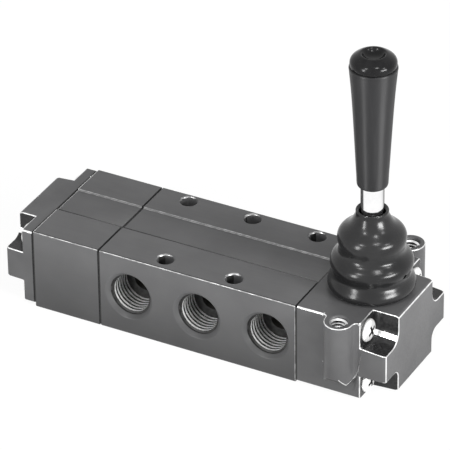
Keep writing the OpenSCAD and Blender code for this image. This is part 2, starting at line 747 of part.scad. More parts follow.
// The boot: three bulges and a collar turned as one wall, with a foot in the neck's groove
module boot() {
    t = boot_wall;
    foot_r = neck_d / 2 + fit_gap;
    grip_r = groove_r + fit_gap;
    foot_top = groove_z + groove_h - fit_gap;
    outer = concat(
        bulge(bulge_low_d / 2, low_shares, -80, 60, 20),
        [[bulge_mid_d / 2 - t - free_gap, boot_base + boot_h * waist_shares[0]]],
        bulge(bulge_mid_d / 2, mid_shares, -40, 68, 18),
        [[bulge_top_d / 2 - t / 2 - free_gap, boot_base + boot_h * waist_shares[1]]],
        bulge(bulge_top_d / 2, top_shares, -22, 68, 18),
        [[collar_d / 2 + t / 2, boot_base + boot_h * collar_share - t],
         [collar_d / 2 - run_gap, boot_base + boot_h * collar_share]]);
    rim = [[collar_d / 2, boot_top - t / 4], [collar_d / 2 - t / 4, boot_top],
        [collar_inner_r, boot_top - t / 2]];
    inner = [for (i = [len(outer) - 2 : -1 : 1]) [max(outer[i][0] - t, collar_inner_r), outer[i][1]]];
    foot = [[foot_r, foot_top + t / 2], [foot_r, foot_top], [grip_r, foot_top], [grip_r, groove_z + fit_gap],
        [foot_r, groove_z + fit_gap], [foot_r, boot_base + fit_gap], [outer[0][0] - t, boot_base + fit_gap]];
    color("#1c1c1c") translate([lever_x, 0, 0]) difference() {
        rotate_extrude() polygon(concat(outer, rim, inner, foot));
        along_x(0, 0, boot_base + boot_h * vent_share) cylinder(d = vent_d, h = bulge_mid_d);
    }
}

centre_body();
spring_housing();
end_cap();
lever_housing();
cap_gasket();
spring_housing_gasket();
lever_housing_gasket();
cap_screws();
lever_housing_screws();
seal_rings();
seal_cages();
seal_retainers();
spring_seats();
spool();
spring_collar();
spool_nut();
inner_spring();
outer_spring();
pivot_pin();
pivot_washers();
lever_arm();
lever_rod();
grip_insert();
handle_grip();
grip_cap();
boot();
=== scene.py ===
# %% [markdown]
# # A lever-operated air control valve
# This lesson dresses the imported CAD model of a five-port hand valve.
# The real one is a painted aluminium bar with two die-cast ends, a rubber boot and a black lever knob.
# The CAD gives every size, so the lesson only adds what a photograph shows: edges, threads, rubber and finish.

# %% Load the frame
import json
import math
import bmesh
import bpy
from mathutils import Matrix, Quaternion, Vector

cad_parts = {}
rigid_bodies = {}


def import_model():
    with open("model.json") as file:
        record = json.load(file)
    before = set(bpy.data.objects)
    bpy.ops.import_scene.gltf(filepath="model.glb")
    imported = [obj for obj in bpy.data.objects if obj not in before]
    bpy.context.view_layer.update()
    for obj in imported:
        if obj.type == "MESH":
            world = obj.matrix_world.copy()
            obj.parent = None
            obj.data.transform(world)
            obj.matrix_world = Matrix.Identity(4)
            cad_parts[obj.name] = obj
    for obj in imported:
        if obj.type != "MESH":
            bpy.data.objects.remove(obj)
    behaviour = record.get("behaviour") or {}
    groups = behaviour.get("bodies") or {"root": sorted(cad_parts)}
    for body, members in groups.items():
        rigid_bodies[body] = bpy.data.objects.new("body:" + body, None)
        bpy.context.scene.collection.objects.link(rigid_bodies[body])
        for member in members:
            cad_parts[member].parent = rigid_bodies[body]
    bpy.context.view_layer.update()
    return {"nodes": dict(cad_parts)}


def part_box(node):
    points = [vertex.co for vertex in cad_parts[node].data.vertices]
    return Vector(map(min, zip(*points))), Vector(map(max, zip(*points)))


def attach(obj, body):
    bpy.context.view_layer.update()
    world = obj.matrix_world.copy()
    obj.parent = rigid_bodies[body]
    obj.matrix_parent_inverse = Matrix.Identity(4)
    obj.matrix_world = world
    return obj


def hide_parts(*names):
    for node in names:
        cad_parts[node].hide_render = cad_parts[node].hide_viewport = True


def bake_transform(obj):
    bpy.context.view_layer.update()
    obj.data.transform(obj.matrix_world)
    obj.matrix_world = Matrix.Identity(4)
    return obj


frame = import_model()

# %% [markdown]
# ## Sizes read from the frame
# The valve stands on z = 0 with its spool along X and its lever near the right end.
# Boxes of the CAD nodes say where the lever axis, the castings' top and the joints are.
# Reading them keeps every dressed piece exactly where the CAD has it.

# %% Read the main places
MM = 0.001
body_low, body_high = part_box("centre_body")
cast_low, cast_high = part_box("lever_housing")
rod_low, rod_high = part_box("lever_rod")
grip_low, grip_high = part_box("handle_grip")
boot_low, boot_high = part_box("boot")
lever_x = (rod_low[0] + rod_high[0]) / 2
front_y, rear_y = body_low[1], body_high[1]
spool_z = (body_low[2] + body_high[2]) / 2
casting_top = boot_low[2]
print("lever axis x:", round(lever_x, 5), "casting top z:", round(casting_top, 5))

# %% [markdown]
# ## Helpers for working by hand in code
# Operators act on whatever is selected, so each step starts by choosing one object.
# Faces and edges are picked by a test on their place, which is what the eye does in the window.

# %% Choose, edit and settle an object
def only(piece):
    if bpy.context.object and bpy.context.object.mode != "OBJECT":
        bpy.ops.object.mode_set(mode="OBJECT")
    bpy.ops.object.select_all(action="DESELECT")
    piece.select_set(True)
    bpy.context.view_layer.objects.active = piece


def start_edit(piece, kind="VERT"):
    only(piece)
    bpy.ops.object.mode_set(mode="EDIT")
    bpy.ops.mesh.select_mode(type=kind)
    bpy.ops.mesh.select_all(action="SELECT")


def pick(piece, kind, test):
    mesh = bmesh.from_edit_mesh(piece.data)
    group = {"VERT": mesh.verts, "EDGE": mesh.edges, "FACE": mesh.faces}[kind]
    bpy.ops.mesh.select_mode(type=kind)
    bpy.ops.mesh.select_all(action="DESELECT")
    for part in group:
        if test(part):
            part.select_set(True)
    mesh.select_flush_mode()
    bmesh.update_edit_mesh(piece.data)


def end_edit():
    bpy.ops.object.mode_set(mode="OBJECT")


def settle(piece, smooth_angle=None):
    only(piece)
    bpy.ops.object.transform_apply(location=True, rotation=True, scale=True)
    if smooth_angle is not None:
        bpy.ops.object.shade_smooth_by_angle(angle=math.radians(smooth_angle))
    lowest = min(v.co.z for v in piece.data.vertices) / MM
    print(piece.name, "has", len(piece.data.polygons), "faces, lowest point", round(lowest, 2), "mm")


def apply_modifier(piece, kind, **settings):
    only(piece)
    modifier = piece.modifiers.new(kind.title(), kind)
    for name, value in settings.items():
        setattr(modifier, name, value)
    bpy.ops.object.modifier_apply(modifier=modifier.name)


# %% [markdown]
# ## Helpers for finishes
# Every finish is a small node tree on Object coordinates, in metres, so its grain has one real scale.
# Noise moves the colour and the roughness a little, and a finer noise lifts the surface as bump.

# %% Build a finish
def new_finish(name, colour, roughness, metallic=0.0, **sockets):
    finish = bpy.data.materials.new(name)
    finish.use_nodes = True
    shader = finish.node_tree.nodes["Principled BSDF"]
    shader.inputs["Base Color"].default_value = (*colour, 1)
    shader.inputs["Roughness"].default_value = roughness
    shader.inputs["Metallic"].default_value = metallic
    for socket, value in sockets.items():
        shader.inputs[socket.replace("_", " ")].default_value = value
    return finish


def add_noise(finish, scale, detail=4.0, stretch=(1, 1, 1)):
    nodes, links = finish.node_tree.nodes, finish.node_tree.links
    place = nodes.new("ShaderNodeTexCoord")
    mapping = nodes.new("ShaderNodeMapping")
    mapping.inputs["Scale"].default_value = stretch
    noise = nodes.new("ShaderNodeTexNoise")
    noise.inputs["Scale"].default_value = scale
    noise.inputs["Detail"].default_value = detail
    links.new(place.outputs["Object"], mapping.inputs["Vector"])
    links.new(mapping.outputs["Vector"], noise.inputs["Vector"])
    return noise.outputs["Fac"]


def vary_colour(finish, source, dark, light, spread=(0.35, 0.65)):
    nodes, links = finish.node_tree.nodes, finish.node_tree.links
    ramp = nodes.new("ShaderNodeValToRGB")
    ramp.color_ramp.elements[0].position, ramp.color_ramp.elements[1].position = spread
    ramp.color_ramp.elements[0].color = (*dark, 1)
    ramp.color_ramp.elements[1].color = (*light, 1)
    links.new(source, ramp.inputs["Fac"])
    links.new(ramp.outputs["Color"], nodes["Principled BSDF"].inputs["Base Color"])


def vary_roughness(finish, source, low, high):
    nodes, links = finish.node_tree.nodes, finish.node_tree.links
    spread = nodes.new("ShaderNodeMapRange")
    spread.inputs["From Min"].default_value = 0.3
    spread.inputs["From Max"].default_value = 0.7
    spread.inputs["To Min"].default_value = low
    spread.inputs["To Max"].default_value = high
    links.new(source, spread.inputs["Value"])
    links.new(spread.outputs["Result"], nodes["Principled BSDF"].inputs["Roughness"])


# Painted shade: the colour is scaled darker towards the floor, as the lamps light the upper faces more.
def paint_shade_towards_floor(finish, low, high, share_low):
    nodes, links = finish.node_tree.nodes, finish.node_tree.links
    place = nodes.new("ShaderNodeTexCoord")
    axes = nodes.new("ShaderNodeSeparateXYZ")
    shade_ramp = nodes.new("ShaderNodeMapRange")
    shade_ramp.inputs["From Min"].default_value, shade_ramp.inputs["From Max"].default_value = low, high
    shade_ramp.inputs["To Min"].default_value, shade_ramp.inputs["To Max"].default_value = share_low, 1.0
    mix = nodes.new("ShaderNodeVectorMath")
    mix.operation = "SCALE"
    colour = nodes["Principled BSDF"].inputs["Base Color"]
    source = colour.links[0].from_socket
    links.new(place.outputs["Object"], axes.inputs[0])
    links.new(axes.outputs["Z"], shade_ramp.inputs["Value"])
    links.new(source, mix.inputs[0])
    links.new(shade_ramp.outputs["Result"], mix.inputs["Scale"])
    links.new(mix.outputs[0], colour)


def add_bump(finish, source, height, strength=1.0):
    nodes, links = finish.node_tree.nodes, finish.node_tree.links
    bump = nodes.new("ShaderNodeBump")
    bump.inputs["Strength"].default_value = strength
    bump.inputs["Distance"].default_value = height
    links.new(source, bump.inputs["Height"])
    links.new(bump.outputs["Normal"], nodes["Principled BSDF"].inputs["Normal"])


# %% [markdown]
# ## The painted metal
# The extruded bar is painted a satin grey, and the die-cast ends take the same paint a little lighter.
# Paint on an extrusion shows faint lines along its length, and paint on a casting a soft orange peel.
# Sharp edges are where paint is thin, so the edges get a brighter bare-metal finish of their own; kept only on edges
# that face the lamps, it is also a painted highlight.

# %% Paints and their bright edges
bar_paint = new_finish("bar_paint", (0.105, 0.105, 0.107), 0.42, Specular_IOR_Level=0.3)
bar_grain = add_noise(bar_paint, 900, 5, (0.08, 1, 1))
bar_cloud = add_noise(bar_paint, 45, 3)
vary_colour(bar_paint, bar_cloud, (0.108, 0.108, 0.11), (0.128, 0.128, 0.13))
# Painted shade: the bar is darker towards the floor.
paint_shade_towards_floor(bar_paint, 2 * MM, 30 * MM, 0.5)
vary_roughness(bar_paint, bar_grain, 0.37, 0.5)
add_bump(bar_paint, bar_grain, 0.00002)

cast_paint = new_finish("cast_paint", (0.105, 0.105, 0.107), 0.4, Specular_IOR_Level=0.3)
cast_peel = add_noise(cast_paint, 1400, 3)
cast_cloud = add_noise(cast_paint, 60, 3)
vary_colour(cast_paint, cast_cloud, (0.092, 0.092, 0.094), (0.118, 0.118, 0.12))
# Painted shade: the castings are darker towards the floor.
paint_shade_towards_floor(cast_paint, 0, 30 * MM, 0.8)
vary_roughness(cast_paint, cast_peel, 0.34, 0.46)
add_bump(cast_paint, cast_peel, 0.00003)

# Painted shade: this near-black paint stands for the shade in the corner pockets, along the channel step and at the
# joints.
shade_paint = new_finish("shade_paint", (0.02, 0.02, 0.0205), 0.22, Specular_IOR_Level=0.3)
shade_peel = add_noise(shade_paint, 900, 3)
vary_colour(shade_paint, shade_peel, (0.014, 0.014, 0.0145), (0.026, 0.026, 0.0265))
vary_roughness(shade_paint, shade_peel, 0.18, 0.26)

# Bare metal on worn edges, and a painted highlight where only edges facing the lamps get it.
bare_edge_and_highlight = new_finish("bare_edge_and_highlight", (0.9, 0.9, 0.9), 0.3, 0.9)
edge_wear = add_noise(bare_edge_and_highlight, 420, 4)
vary_colour(bare_edge_and_highlight, edge_wear, (0.62, 0.62, 0.62), (0.95, 0.95, 0.95), (0.3, 0.55))
vary_roughness(bare_edge_and_highlight, edge_wear, 0.24, 0.4)

# A dimmer painted highlight, in darker bare metal, for edges that catch less light.
bare_edge_and_dim_highlight = new_finish("bare_edge_and_dim_highlight", (0.4, 0.4, 0.4), 0.35, 0.95)
vary_colour(bare_edge_and_dim_highlight, add_noise(bare_edge_and_dim_highlight, 420, 4), (0.26, 0.26, 0.26), (0.52, 0.52, 0.52), (0.4, 0.6))

# Painted shade: this dark finish stands for the shade deep in the ports and boss holes, on the thread flanks and in the
# screw recesses.
painted_bore_shade = new_finish("painted_bore_shade", (0.02, 0.02, 0.02), 0.5, Specular_IOR_Level=0.3)
bore_lines = add_noise(painted_bore_shade, 700, 4)
vary_colour(painted_bore_shade, bore_lines, (0.012, 0.012, 0.012), (0.035, 0.035, 0.034))
vary_roughness(painted_bore_shade, bore_lines, 0.42, 0.6)

cut_metal = new_finish("cut_metal", (0.8, 0.8, 0.8), 0.45, 0.15)
cut_lines = add_noise(cut_metal, 700, 4)
vary_colour(cut_metal, cut_lines, (0.8, 0.8, 0.8), (0.98, 0.98, 0.98))
vary_roughness(cut_metal, cut_lines, 0.36, 0.55)
print("paints and bright edges ready")

# %% [markdown]
# ## Rubber, plastic and plated metal
# The boot and the knob are glossy black, moulded against polished steel, with a faint ripple.
# The rod is chrome plated, the screws are bright zinc, and the inner parts are steel, brass and nylon.

# %% Black mouldings
boot_rubber = new_finish("boot_rubber", (0.012, 0.012, 0.0125), 0.2, Specular_IOR_Level=0.34)
boot_ripple = add_noise(boot_rubber, 60, 2)
boot_dust = add_noise(boot_rubber, 900, 5)
vary_colour(boot_rubber, boot_ripple, (0.008, 0.008, 0.0085), (0.018, 0.018, 0.0185))
vary_roughness(boot_rubber, boot_dust, 0.17, 0.26)
add_bump(boot_rubber, boot_ripple, 0.00012, 0.7)

grip_gloss = new_finish("grip_gloss", (0.014, 0.014, 0.015), 0.45, Specular_IOR_Level=0.45, Anisotropic=0.9)
grip_flow = add_noise(grip_gloss, 260, 3, (1, 1, 0.12))
vary_colour(grip_gloss, grip_flow, (0.01, 0.01, 0.011), (0.019, 0.019, 0.02))
vary_roughness(grip_gloss, grip_flow, 0.4, 0.5)
grip_gloss.node_tree.nodes["Principled BSDF"].inputs["Anisotropic Rotation"].default_value = 0.25
around = grip_gloss.node_tree.nodes.new("ShaderNodeTangent")
around.direction_type, around.axis = "RADIAL", "Z"
grip_gloss.node_tree.links.new(around.outputs[0], grip_gloss.node_tree.nodes["Principled BSDF"].inputs["Tangent"])

cap_gloss = new_finish("cap_gloss", (0.01, 0.01, 0.0105), 0.14, Specular_IOR_Level=0.2)
cap_flow = add_noise(cap_gloss, 260, 3)
vary_colour(cap_gloss, cap_flow, (0.006, 0.006, 0.0065), (0.012, 0.012, 0.0125))
vary_roughness(cap_gloss, cap_flow, 0.12, 0.18)

gasket_sheet = new_finish("gasket_sheet", (0.012, 0.012, 0.012), 0.7)
gasket_fibre = add_noise(gasket_sheet, 1200, 4)
vary_colour(gasket_sheet, gasket_fibre, (0.008, 0.008, 0.008), (0.022, 0.022, 0.021))

nitrile = new_finish("nitrile", (0.02, 0.02, 0.02), 0.4)
vary_roughness(nitrile, add_noise(nitrile, 600, 4), 0.32, 0.5)

# %% Plated and bare metal
# The near-black specular tint darkens the chrome towards its edges: a painted dark reflection.
chrome = new_finish("chrome", (0.95, 0.95, 0.95), 0.06, 1.0, Specular_Tint=(0.02, 0.02, 0.02, 1))
chrome_haze = add_noise(chrome, 300, 3)
vary_colour(chrome, chrome_haze, (0.92, 0.92, 0.925), (0.98, 0.98, 0.98))
vary_roughness(chrome, chrome_haze, 0.04, 0.1)

zinc = new_finish("zinc", (0.88, 0.88, 0.87), 0.35, 0.35)
zinc_grain = add_noise(zinc, 800, 4)
vary_colour(zinc, zinc_grain, (0.84, 0.84, 0.83), (0.96, 0.96, 0.95))
vary_roughness(zinc, zinc_grain, 0.28, 0.42)

brass = new_finish("brass", (0.16, 0.14, 0.1), 0.28, 1.0)
brass_lines = add_noise(brass, 900, 4, (1, 0.1, 0.1))
vary_colour(brass, brass_lines, (0.13, 0.11, 0.075), (0.2, 0.17, 0.12))
vary_roughness(brass, brass_lines, 0.2, 0.38)

ground_steel = new_finish("ground_steel", (0.55, 0.55, 0.56), 0.2, 1.0)
steel_lines = add_noise(ground_steel, 1100, 4, (1, 0.1, 0.1))
vary_colour(ground_steel, steel_lines, (0.46, 0.46, 0.47), (0.62, 0.62, 0.63))
vary_roughness(ground_steel, steel_lines, 0.14, 0.3)

spring_steel = new_finish("spring_steel", (0.3, 0.3, 0.32), 0.34, 1.0)
vary_roughness(spring_steel, add_noise(spring_steel, 900, 4), 0.28, 0.44)

nylon = new_finish("nylon", (0.72, 0.72, 0.69), 0.45)
vary_colour(nylon, add_noise(nylon, 400, 3), (0.68, 0.68, 0.65), (0.76, 0.76, 0.73))

# %% [markdown]
# ## Finishes on the CAD parts that keep their shape
# Turned and drawn parts need no new shape, only the right metal or rubber.

# %% Assign the finishes
def paint_node(node, finish):
    piece = frame["nodes"][node]
    piece.data.materials.clear()
    piece.data.materials.append(finish)


node_finishes = {
    "cap_gasket": gasket_sheet, "spring_housing_gasket": gasket_sheet, "lever_housing_gasket": gasket_sheet,
    "seal_rings": nitrile, "seal_cages": brass,
    "seal_retainers": brass, "spring_seats": zinc, "spool": ground_steel, "spring_collar": zinc,
    "spool_nut": zinc, "pivot_pin": ground_steel,
    "pivot_washers": nylon, "lever_arm": ground_steel, "lever_rod": chrome, "grip_insert": brass,
}
for node, finish in node_finishes.items():
    paint_node(node, finish)
print("finished as they are:", len(node_finishes))

# %% [markdown]
# ## The bar and the castings with broken edges
# Real machined and cast edges are never sharp: a narrow bevel catches a bright line of light.
# The CAD shapes are right, so each is copied, its loose triangles are merged into clean faces,
# and a Bevel modifier puts the bright finish, bare metal and painted highlight, on the narrow new faces along its sharp
# edges.
# The underside of the rear boss stays as cast, because nothing touches it there.

# %% Copy a CAD part and merge its triangles
def merged_copy(node, name, flat_angle=0.6):
    only(frame["nodes"][node])
    bpy.ops.object.duplicate()
    piece = bpy.context.object
    bpy.ops.object.parent_clear(type="CLEAR_KEEP_TRANSFORM")
    piece.name = name
    start_edit(piece)
    bpy.ops.mesh.customdata_custom_splitnormals_clear()
    bpy.ops.mesh.remove_doubles(threshold=2e-6)
    bpy.ops.mesh.dissolve_limited(angle_limit=math.radians(flat_angle))
    end_edit()
    piece.data.materials.clear()
    return piece


# %% Break the edges of a copy
def broken_edges(node, name, width, paint, smooth_angle=35):
    piece = merged_copy(node, name)
    start_edit(piece, "EDGE")
    bpy.ops.mesh.select_all(action="DESELECT")
    bpy.ops.mesh.edges_select_sharp(sharpness=math.radians(smooth_angle))
    end_edit()
    weights = piece.data.attributes.new("bevel_weight_edge", "FLOAT", "EDGE")
    for edge in piece.data.edges:
        ends = [piece.data.vertices[v].co for v in edge.vertices]
        under_boss = all(end.y > 25.1 * MM and end.z < 16 * MM and abs(end.x - lever_x) < 5 * MM for end in ends)
        weights.data[edge.index].value = 1.0 if edge.select and not under_boss else 0.0
    # Slots: paint, bare edge with painted highlight, painted shade, painted shade for bores, dimmer painted highlight.
    for finish in (paint, bare_edge_and_highlight, shade_paint, painted_bore_shade, bare_edge_and_dim_highlight):
        piece.data.materials.append(finish)
    apply_modifier(piece, "BEVEL", width=width, segments=2, limit_method="WEIGHT", use_clamp_overlap=False,
                   material=1, loop_slide=False)
    settle(piece, smooth_angle)
    apply_modifier(piece, "WEIGHTED_NORMAL", mode="FACE_AREA", weight=100, keep_sharp=True)
    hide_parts(node)
    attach(piece, "valve_body")
    return piece


valve_bar = broken_edges("centre_body", "valve_bar", 0.3 * MM, bar_paint)
spring_bar = broken_edges("spring_housing", "spring_bar", 0.3 * MM, bar_paint)
end_casting = broken_edges("end_cap", "end_casting", 0.32 * MM, cast_paint)
lever_casting = broken_edges("lever_housing", "lever_casting", 0.32 * MM, cast_paint)

# %% [markdown]
# ## Painted highlights on the edges, and painted shade in the hollows
# Light comes from above and from the right, so edges that face up or right get a painted highlight and the others stay
# paint.
# At the joints and around the ports the paint runs over the edge, so nothing shines there; the joint edges take painted
# shade instead, but for two that take a painted highlight.
# The long top edges are rounded in the CAD already, so there the painted highlight goes on the faces of that rounding,
# with painted shade on the bar's facet above it.
# Inside the ports, the corner pockets and along the top channel the metal is given painted shade.

# %% Part a narrow strip off the channel floor, along its front step
def channel_floor(face):
    return face.normal.z > 0.99 and 33 * MM < face.calc_center_median().z < body_high[2] - 0.3 * MM


# The strip is parted off so that the step's shadow can be painted on it.
for piece in (valve_bar, spring_bar):
    start_edit(piece, "FACE")
    pick(piece, "FACE", channel_floor)
    floor_front = min(v.co.y for v in bmesh.from_edit_mesh(piece.data).verts if v.select)
    strip_rear = floor_front + 0.8 * MM
    bpy.ops.mesh.bisect(plane_co=(0, strip_rear, 0), plane_no=(0, 1, 0))
    end_edit()
    print(piece.name, "strip along the channel from y", round(floor_front / MM, 2), "mm")

# %% Give each face its finish
PAINT, BRIGHT, SHADE, BORE_SHADE, DULL = range(5)
port_xs = (-29.2 * MM, 0, 29.2 * MM)
hole_places = ((-16.4, -19.1), (12.8, -19.1), (-28.2, 21), (-0.4, 21), (27.4, 21))
joint_xs = [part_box(name)[side][0] for name in ("cap_gasket", "spring_housing_gasket", "lever_housing_gasket") for side in (0, 1)]


def near(value, places, reach):
    return any(abs(value - place) < reach * MM for place in places)


def edge_finish(place, normal):
    if place.z < 0.9 * MM:
        return PAINT
    # Mount-hole rims that face the lamps get a dimmer painted highlight.
    if any(math.hypot(place.x / MM - x, place.y / MM - y) < 4.5 for x, y in hole_places):
        return DULL if normal.x - normal.y > 0.55 else PAINT
    # At the joints the edges take painted shade, but for two that take a painted highlight where they face the light.
    if near(place.x, joint_xs, 0.7):
        if near(place.x, joint_xs[1:2], 0.7) and normal.x < -0.3 and normal.z > 0.3:
            return BRIGHT
        return DULL if near(place.x, joint_xs[4:5], 0.7) and normal.x > 0.3 and normal.y < -0.3 else SHADE
    # Edges that face up or to the right, towards the lamps, get a painted highlight.
    return BRIGHT if normal.z > 0.2 or normal.x > 0.35 else PAINT


def top_rounding(place, normal, low):
    return place.z > 30 * MM and abs(normal.x) < 0.1 and place.y < -20 * MM and normal.y < -low and normal.z > low


def bar_finish(index, place, normal):
    in_front = any(math.hypot(place.x - x, place.z - spool_z) < 11 * MM for x in port_xs) and place.y < 0
    in_rear = any(math.hypot(place.x - x, place.z - spool_z) < 11 * MM for x in (-14.6 * MM, 14.6 * MM)) and place.y > 0
    deep = front_y + 1.7 * MM < place.y < rear_y - 1.7 * MM
    # Painted shade deep in the ports.
    if (in_front or in_rear) and abs(normal.x) < 0.995 and place.z < body_high[2] - 2 * MM:
        return BORE_SHADE if deep else PAINT
    if place.z > 32.5 * MM and abs(place.y) < 22 * MM and abs(normal.y) > 0.3 and abs(normal.x) < 0.3:
        hole = any(math.hypot(place.x / MM - x, place.y / MM - y) < 4.5 for x, y in hole_places)
        if hole:
            return edge_finish(place, normal) if index == 1 else PAINT
        # The channel step that faces back takes painted shade; the bevel along the top of the rear wall a dimmer
        # painted highlight.
        if normal.y > 0:
            return SHADE
        return DULL if index == 1 and normal.z > 0.8 else PAINT
    # Painted shadow of the step on the strip of channel floor.
    if normal.z > 0.99 and 33 * MM < place.z < body_high[2] - 0.3 * MM and place.y < strip_rear:
        return SHADE
    # On the bar's front-top rounding, a dimmer painted highlight on the middle facet and painted shade on the facet
    # above.
    if top_rounding(place, normal, 0.2):
        return DULL if normal.y < -0.5 and normal.z > 0.5 else SHADE if normal.z > 0.5 else PAINT
    return edge_finish(place, normal) if index == 1 else PAINT


def casting_finish(index, place, normal):
    x, y, z = (value / MM for value in place)
    outside_block = abs(y) > 14 and 0.9 < z < 33.2 and abs(y) < 24.7
    pocket_floor = near(place.x, (68.55 * MM, -75.45 * MM), 0.45) and outside_block
    in_pocket = (x > 68.9 or x < -75.8) and outside_block and abs(normal.x) < 0.5
    on_flank = abs(normal.y) > 0.99 and abs(abs(place.y) - rear_y) < 0.2 * MM
    # Painted shade deep in the boss holes.
    if not on_flank and near(place.x, [lever_x], 4.9) and any(math.hypot(x - lever_x / MM, y - hole_y) < 4.9 for hole_y in boss_ys):
        return BORE_SHADE if z < casting_top / MM - 1 else PAINT
    # A painted highlight along the pocket's fillet; the rest of the pocket and its floor take painted shade.
    if index == 0 and in_pocket and 0.4 < normal.z < 0.7:
        return BRIGHT
    if pocket_floor or (index == 0 and in_pocket):
        return SHADE
    # A painted highlight on the casting's top rounding.
    if top_rounding(place, normal, 0.5):
        return BRIGHT
    return edge_finish(place, normal) if index == 1 else PAINT


def finish_faces(piece, choose):
    counts = [0] * 5
    for face in piece.data.polygons:
        face.material_index = choose(face.material_index, face.center, face.normal)
        counts[face.material_index] += 1
    print(piece.name, "faces painted, bright, dark, bore_shaded, dull:", counts)


boss_ys = (-27.2, 33.0)
for piece, choose in ((valve_bar, bar_finish), (spring_bar, bar_finish), (end_casting, casting_finish),
                      (lever_casting, casting_finish)):
    finish_faces(piece, choose)

# %% [markdown]
# ## The centring springs
# Each centring spring sits between a fixed seat and the collar on the spool.
# When the spool moves, the collar's end of the spring moves with it; here each spring is copied from the CAD, smoothed
# and given spring steel.

# %% Copy both springs
for node, still_side in (("outer_spring", 0), ("inner_spring", 1)):
    spring = merged_copy(node, node + "_coil", 0.05)
    settle(spring, 40)
    spring.data.materials.append(spring_steel)
    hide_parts(node)
    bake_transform(spring)

# %% [markdown]
# ## Turned pieces by extruding a ring
# A boot or a knob is round, so it grows from one circle: extrude the ring, move it up, scale it, repeat.
# Spinning a profile would do as well, but with rings each step of the outline stays easy to change.
# A last ring is either bridged back to the first, which makes a closed wall, or drawn together to a point.

# %% Grow a piece from rings
def turned(name, rings, sides=48, closed_wall=False, centre=None):
    bpy.ops.object.select_all(action="DESELECT")
    radius, height = rings[0]
    axis = lever_x if centre is None else centre
    bpy.ops.mesh.primitive_circle_add(vertices=sides, radius=radius * MM, location=(axis, 0, height * MM))
    piece = bpy.context.object
    piece.name = name
    start_edit(piece)
    for (r0, z0), (r1, z1) in zip(rings, rings[1:]):
        bpy.ops.mesh.extrude_region_move(TRANSFORM_OT_translate={"value": (0, 0, (z1 - z0) * MM)})
        bpy.ops.transform.resize(value=(r1 / r0, r1 / r0, 1), center_override=(axis, 0, z1 * MM))
    if closed_wall:
        bpy.ops.mesh.select_all(action="DESELECT")
        bpy.ops.mesh.select_non_manifold()
        bpy.ops.mesh.bridge_edge_loops()
    else:
        bpy.ops.mesh.select_all(action="DESELECT")
        bpy.ops.mesh.select_non_manifold()
        bpy.ops.mesh.fill_holes(sides=0)
    bpy.ops.mesh.select_all(action="SELECT")
    bpy.ops.mesh.normals_make_consistent(inside=False)
    end_edit()
    bpy.ops.object.transform_apply(location=True, rotation=True, scale=True)
    return piece


# %% [markdown]
# ## The rubber boot
# A bellows with three bulges seals the lever: a flared foot, a wide middle fold, a domed upper fold and a collar.
# The outline is a smooth curve through points measured up the boot, and the wall follows it inside.
# The foot rides on the valve and the collar on the lever.

# %% Outline and wall of the boot
z0 = casting_top / MM
boot_outer = [(r, z0 + up) for r, up in (
    (14.4, 0.15), (15.5, 0.5), (16.25, 1.2), (16.65, 2.1), (16.68, 3.1), (16.3, 4.2), (15.6, 5.3), (15.0, 6.3), (14.75, 7.1),
    (14.75, 7.8), (15.0, 8.7), (15.4, 9.7), (15.72, 10.8), (15.75, 11.9), (15.4, 13.0), (14.6, 14.0), (13.5, 14.9),
    (12.7, 15.8), (12.3, 16.8), (12.3, 18.0), (12.6, 19.3), (12.95, 20.7), (13.05, 22.0), (12.85, 23.2), (12.3, 24.3),
    (11.4, 25.3), (10.1, 26.2), (8.7, 27.3), (7.7, 28.7), (6.95, 30.1), (6.4, 31.3), (6.15, 32.2), (6.25, 32.9), (6.2, 33.35))]
boot_rim = [(5.9, z0 + 33.58), (5.5, z0 + 33.4), (4.9, z0 + 32.9), (4.5, z0 + 32.6)]
wall = 1.5
boot_inner = [(max(r - wall, 4.5), z) for r, z in reversed(boot_outer[1:-4])]
boot_foot = [(12.9, z0 + 0.1)]
boot = turned("rubber_boot", boot_outer + boot_rim + boot_inner + boot_foot, 72, True)
apply_modifier(boot, "SUBSURF", levels=1, render_levels=1)

# %% A small vent hole on the right side
vent_turn = math.radians(-11)
bpy.ops.object.select_all(action="DESELECT")
bpy.ops.mesh.primitive_cylinder_add(vertices=24, radius=0.95 * MM, depth=6 * MM, rotation=(0, math.pi / 2, vent_turn),
                                    location=(lever_x + 14.3 * MM, -2.8 * MM, (z0 + 9.8) * MM))
vent = bpy.context.object
bpy.ops.object.transform_apply(location=True, rotation=True, scale=True)
apply_modifier(boot, "BOOLEAN", operation="DIFFERENCE", object=vent, solver="EXACT")
bpy.data.objects.remove(vent)
settle(boot, 60)
boot.data.materials.clear()
boot.data.materials.append(boot_rubber)
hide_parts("boot")
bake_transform(boot)

# %% [markdown]
# ## The knob and its cap
# The knob is a slim black taper that swells to a rounded rim, and a separate cap closes its top.
# Both grow from rings, and a subdivision rounds the outline.

# %% Knob and cap
gb, gt = grip_low[2] / MM, grip_high[2] / MM
cap_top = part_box("grip_cap")[1][2] / MM
grip_outer = [(4.6, gb + 0.15), (5.1, gb + 0.02), (5.55, gb + 0.25), (5.85, gb + 0.8), (5.95, gb + 1.8), (6.0, gb + 4.5),
              (6.25, gb + 8), (6.5, gb + 13), (6.8, gb + 18.5), (7.15, gb + 25), (7.55, gb + 32), (8.0, gb + 38.8),
              (8.5, gb + 44.5), (8.85, gb + 48), (9.0, gb + 50), (9.05, gt - 0.9), (9.03, gt - 0.2), (8.85, gt),
              (8.0, gt), (5.2, gt)]
grip_inner = [(5.1, gb + 40), (4.7, gb + 38), (4.65, gb + 6), (4.3, gb + 5.6)]
knob = turned("grip_knob", grip_outer + grip_inner, 64, True)
apply_modifier(knob, "SUBSURF", levels=1, render_levels=1)
settle(knob, 50)
knob.data.materials.append(grip_gloss)
